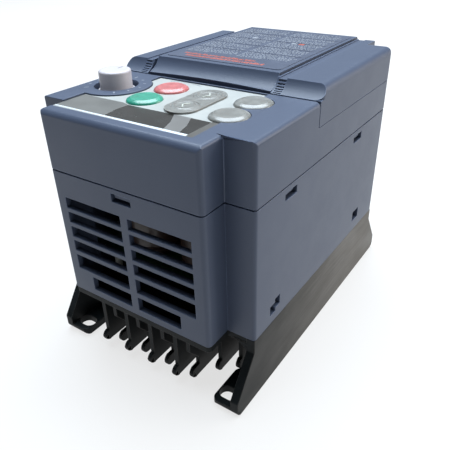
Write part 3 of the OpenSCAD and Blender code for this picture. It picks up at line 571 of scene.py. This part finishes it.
def add_round_key(node, x, y, radius, edge_z, top_z):
    """A key with its foot, its flange under the deck, and a dome above the film."""
    foot_r, foot_z = KEY_FOOT
    flange_r = min(radius + 0.6, FLANGE_MAX)
    profile = [(0, foot_z), (foot_r, foot_z), (foot_r, KEY_FLANGE[0]), (flange_r, KEY_FLANGE[0]),
               (flange_r, KEY_FLANGE[1]), (radius, KEY_FLANGE[1])]
    profile += dome(radius, edge_z, top_z)
    piece = turned(node + "_rubber", profile, (x, y), body_of[node], slot_of[node])
    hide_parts(node)


def add_chevron(node, x, y, sign, z):
    """A small raised mark that points along X."""
    arm, half, thick = 1.5, 2.0, 0.45
    tip = x + sign * arm / 2
    back = tip - sign * arm
    outline = [(back, y - half), (back + sign * thick * 1.4, y - half), (tip + sign * thick, y),
               (back + sign * thick * 1.4, y + half), (back, y + half), (tip, y)]
    extruded(node + "_mark", outline, z - 0.2, z, body_of[node], slot_of[node], MATERIALS["pad_grey"])


def add_knob():
    """Smooth white knob with a skirt, a soft rim and a pointer line."""
    low, high, radius, skirt = 88.9, 95.9, 5.45, 6.2
    profile = [(0, low), (skirt, low), (skirt, low + 0.5), (radius + 0.15, low + 0.75), (radius, low + 1.1),
               (radius, high - 0.75), (radius - 0.08, high - 0.42), (radius - 0.3, high - 0.17),
               (radius - 0.65, high - 0.04), (radius - 1.1, high), (radius - 2, high - 0.03),
               (0, high - 0.08)]
    knob = turned("speed_knob_cap", profile, KNOB_AT, "knob_set", "knob_white")
    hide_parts("speed_knob")
    x, y = KNOB_AT
    line = [(x - 0.2, y + 1.8), (x + 0.2, y + 1.8), (x + 0.2, y + 4.2), (x - 0.2, y + 4.2)]
    extruded("knob_pointer", line, high - 0.3, high - 0.01, "knob_set", "knob_white", INK_BLANK)


def add_scale():
    """Pale ticks on the disc round the knob, one at each end of the turn and nine between."""
    count, inner, outer, half_w = 11, 9.1, 10.7, 0.22
    work = bmesh.new()
    for k in range(count):
        angle = math.radians(90 + KNOB_TURN * (2 * k / (count - 1) - 1))
        along = Vector((math.cos(angle), math.sin(angle)))
        across = Vector((-along.y, along.x)) * half_w
        centre = Vector(KNOB_AT)
        reach = outer if k in (0, count // 2, count - 1) else outer - 0.7
        corners = [centre + along * inner - across, centre + along * reach - across,
                   centre + along * reach + across, centre + along * inner + across]
        prism(work, [tuple(c) for c in corners], DISC_TOP - 0.05, DISC_TOP + INK_T)
    finished(mesh_of("knob_scale", work), "knob_scale", "drive_body", "case_blue", INK_PALE)


def add_film_print():
    """Printed fields of the film, a painted highlight line along its near edge and a painted shade along its
    far edge: all lie flat on it and belong to its slot.
    """
    near, far = WINDOW_Y
    middle_y = (near + far) / 2
    left, right = -29.8, 21.35
    outlines = {
        "film_blank": [(left, near), (-9.3, near), (-9.95, middle_y), (-9.65, far), (-12.9, -41.5),
                       (left, -41.5)],
        "film_stripe": [(13.05, near), (18.35, near), (16.75, middle_y), (14.15, far), (8.15, far),
                        (11.15, middle_y)],
        "film_border": [(right, near), (21.6, -54.9), (22.9, -54.9), (23.8, -54.0), (23.8, -42.0),
                        (right, -42.3)],
        # Painted highlight: a pale line along the film's near edge, where the rounded rim catches the light
        "film_highlight_line": [(left, near - 0.6), (21.5, near - 1.5), (21.25, near - 0.05), (left, near - 0.05)],
        # Painted shade: a darker crescent along the film's far edge, by the front edge of the cover
        "film_crescent_shade": [*arc((-9.0, -29.2), 15.0, 66, 114), *arc((-9.0, -38.4), 24.4, 106, 74)],
    }
    film_prints_and_painted_light = (INK_BLANK, INK_STRIPE, INK_BORDER, NEAR_EDGE_HIGHLIGHT, CRESCENT_SHADE)
    for (name, outline), ink in zip(outlines.items(), film_prints_and_painted_light):
        extruded(name, outline, FILM_TOP - 0.02, FILM_TOP + INK_T, "drive_body", "overlay", ink)


for node, (x, y, radius) in KEYS.items():
    add_round_key(node, x, y, radius, KEY_EDGE, KEY_TOP)
for (node, (x, y, radius)), sign in zip(ARROW_KEYS.items(), (-1, 1)):
    add_round_key(node, x, y, radius, ARROW_EDGE, ARROW_TOP)
    add_chevron(node, x, y, sign, CHEVRON_TOP)
add_knob()
add_scale()
add_film_print()

# ---------------------------------------------------------------- label


def bar(work, x0, x1, y, height):
    """One printed bar of the label."""
    prism(work, [(x0, y), (x1, y), (x1, y + height), (x0, y + height)], LABEL_FILM, LABEL_INK)


def near_symbol(x, length, y, symbol):
    """Whether a bar would touch one of the square symbols or the clear space round it."""
    _, left, low = symbol
    clear = 0.7
    beside = left - clear - length < x < left + SYMBOL + clear
    level = low - clear - TEXT_H < y < low + SYMBOL + clear
    return beside and level


def print_words(work, left, right, y, symbols):
    """One row of short bars that stand for text, with clear space round each symbol."""
    x, shortest_rest = left, 1.2
    while x < right - shortest_rest:
        word = min(random.uniform(0.3, 1.3), right - x)
        if not any(near_symbol(x, word, y, symbol) for symbol in symbols):
            bar(work, x, x + word, y + random.uniform(-0.08, 0.08), TEXT_H)
        x += word + random.uniform(0.3, 0.9)


def print_heading(work, left, right, y):
    """One row of tall bars that stands for the red heading."""
    x = left
    while x < right:
        letter = random.uniform(0.35, 1.0)
        bar(work, x, x + letter, y + random.uniform(-0.1, 0.3), random.uniform(1.3, 2.2))
        x += letter + random.uniform(0.2, 0.5)


def add_label_film():
    """The label itself, a film with round corners."""
    corner = 1.5
    left, right = LABEL_X[0] + corner, LABEL_X[1] - corner
    near, far = LABEL_Y[0] + corner, LABEL_Y[1] - corner
    corners = [(right, near, -90), (right, far, 0), (left, far, 90), (left, near, 180)]
    outline = [point for x, y, start in corners for point in arc((x, y), corner, start, start + 90, 6)]
    film = extruded("label_film", outline, LABEL_LOW, LABEL_FILM, "centre_cover", "label")
    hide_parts("cover_label")


def add_label_print():
    """Rows of plain bars in two columns, with three square symbols and a red heading.

    Each block of rows has one ruled line, and every few rows end short.
    """
    random.seed(7)
    pale, red, dark = bmesh.new(), bmesh.new(), bmesh.new()
    block, ruled, short = 9, 7, 5
    symbols = ((red, 8.6, 33.0), (pale, 5.4, 33.0), (pale, -14.0, 36.0))
    for work, x, y in symbols:
        bar(work, x, x + SYMBOL, y, SYMBOL)
    for k in range(TEXT_ROWS):
        y = TEXT_START + k * TEXT_PITCH
        for left, right in TEXT_COLUMNS:
            if k % block == ruled:
                bar(dark, left, right, y, TEXT_H)
            else:
                end = right if k % short else left + (right - left) * random.uniform(0.45, 0.8)
                print_words(pale, left, end, y, symbols)
    for left, right, y in HEADING_ROWS:
        print_heading(red, left, right, y)
    for name, work, ink in (("bars", pale, INK_PALE), ("red", red, INK_RED), ("dark", dark, INK_DARK)):
        finished(mesh_of(name, work), "label_" + name, "centre_cover", "label", ink)


add_label_film()
add_label_print()

# ---------------------------------------------------------------- the other CAD nodes keep their shape

replaced = {*SOFTENED, *KEYS, *ARROW_KEYS, "speed_knob", "cover_label"}
for node, slot in slot_of.items():
    if node not in replaced:
        shown = frame["nodes"][node].data.materials
        shown.clear()
        shown.append(MATERIALS[slot])

# ---------------------------------------------------------------- stage, lights and camera


def add_floor():
    """A plain white sheet of studio paper."""
    work = bmesh.new()
    just_below = -0.1 * MM
    for x, y in ((-1, -1), (1, -1), (1, 1), (-1, 1)):
        work.verts.new((x * FLOOR_HALF, y * FLOOR_HALF, just_below))
    work.faces.new(work.verts)
    floor = bpy.data.objects.new("floor", mesh_of("floor", work))
    bpy.context.scene.collection.objects.link(floor)
    paint = Paint("paper", Roughness=0.9, Emission_Color=(1, 1, 1), Emission_Strength=FLOOR_GLOW)
    paint.set("Base_Color", paint.mix(paint.noise(60), (0.155, 0.155, 0.155), (0.17, 0.17, 0.17)))
    floor.data.materials.append(paint.material)


def add_softbox(name, at, aim, size, power, color):
    """A square studio light that faces a point."""
    light = bpy.data.lights.new(name, "AREA")
    light.size = size
    light.energy = power
    light.color = color
    lamp = bpy.data.objects.new(name, light)
    lamp.location = at
    lamp.rotation_euler = (Vector(aim) - Vector(at)).to_track_quat("-Z", "Y").to_euler()
    bpy.context.scene.collection.objects.link(lamp)


def add_sky(strength):
    """Even white surroundings."""
    world = bpy.data.worlds.new("studio")
    world.use_nodes = True
    world.node_tree.nodes["Background"].inputs["Color"].default_value = (1, 1, 1, 1)
    world.node_tree.nodes["Background"].inputs["Strength"].default_value = strength
    bpy.context.scene.world = world


def add_camera():
    """The camera, turned by its azimuth, elevation and roll."""
    azimuth, elevation, roll = (math.radians(a) for a in (CAMERA_AZIMUTH, CAMERA_ELEVATION, CAMERA_ROLL))
    back = Vector((math.sin(azimuth) * math.cos(elevation), -math.cos(azimuth) * math.cos(elevation),
                   math.sin(elevation)))
    right = Vector((math.cos(azimuth), math.sin(azimuth), 0))
    up = back.cross(right)
    turned_right = math.cos(roll) * right + math.sin(roll) * up
    turned_up = math.cos(roll) * up - math.sin(roll) * right
    lens = bpy.data.cameras.new("camera")
    lens.lens = CAMERA_LENS
    camera = bpy.data.objects.new("camera", lens)
    camera.matrix_world = Matrix.Translation(mm(*CAMERA_AT)) @ Matrix(
        (turned_right, turned_up, back)).transposed().to_4x4()
    bpy.context.scene.collection.objects.link(camera)
    bpy.context.scene.camera = camera


add_floor()
add_sky(SKY_STRENGTH)
for name, (at, aim, size, power, color) in SOFTBOXES.items():
    add_softbox(name, at, aim, size, power, color)
add_camera()
bpy.context.scene.view_settings.view_transform = "Standard"
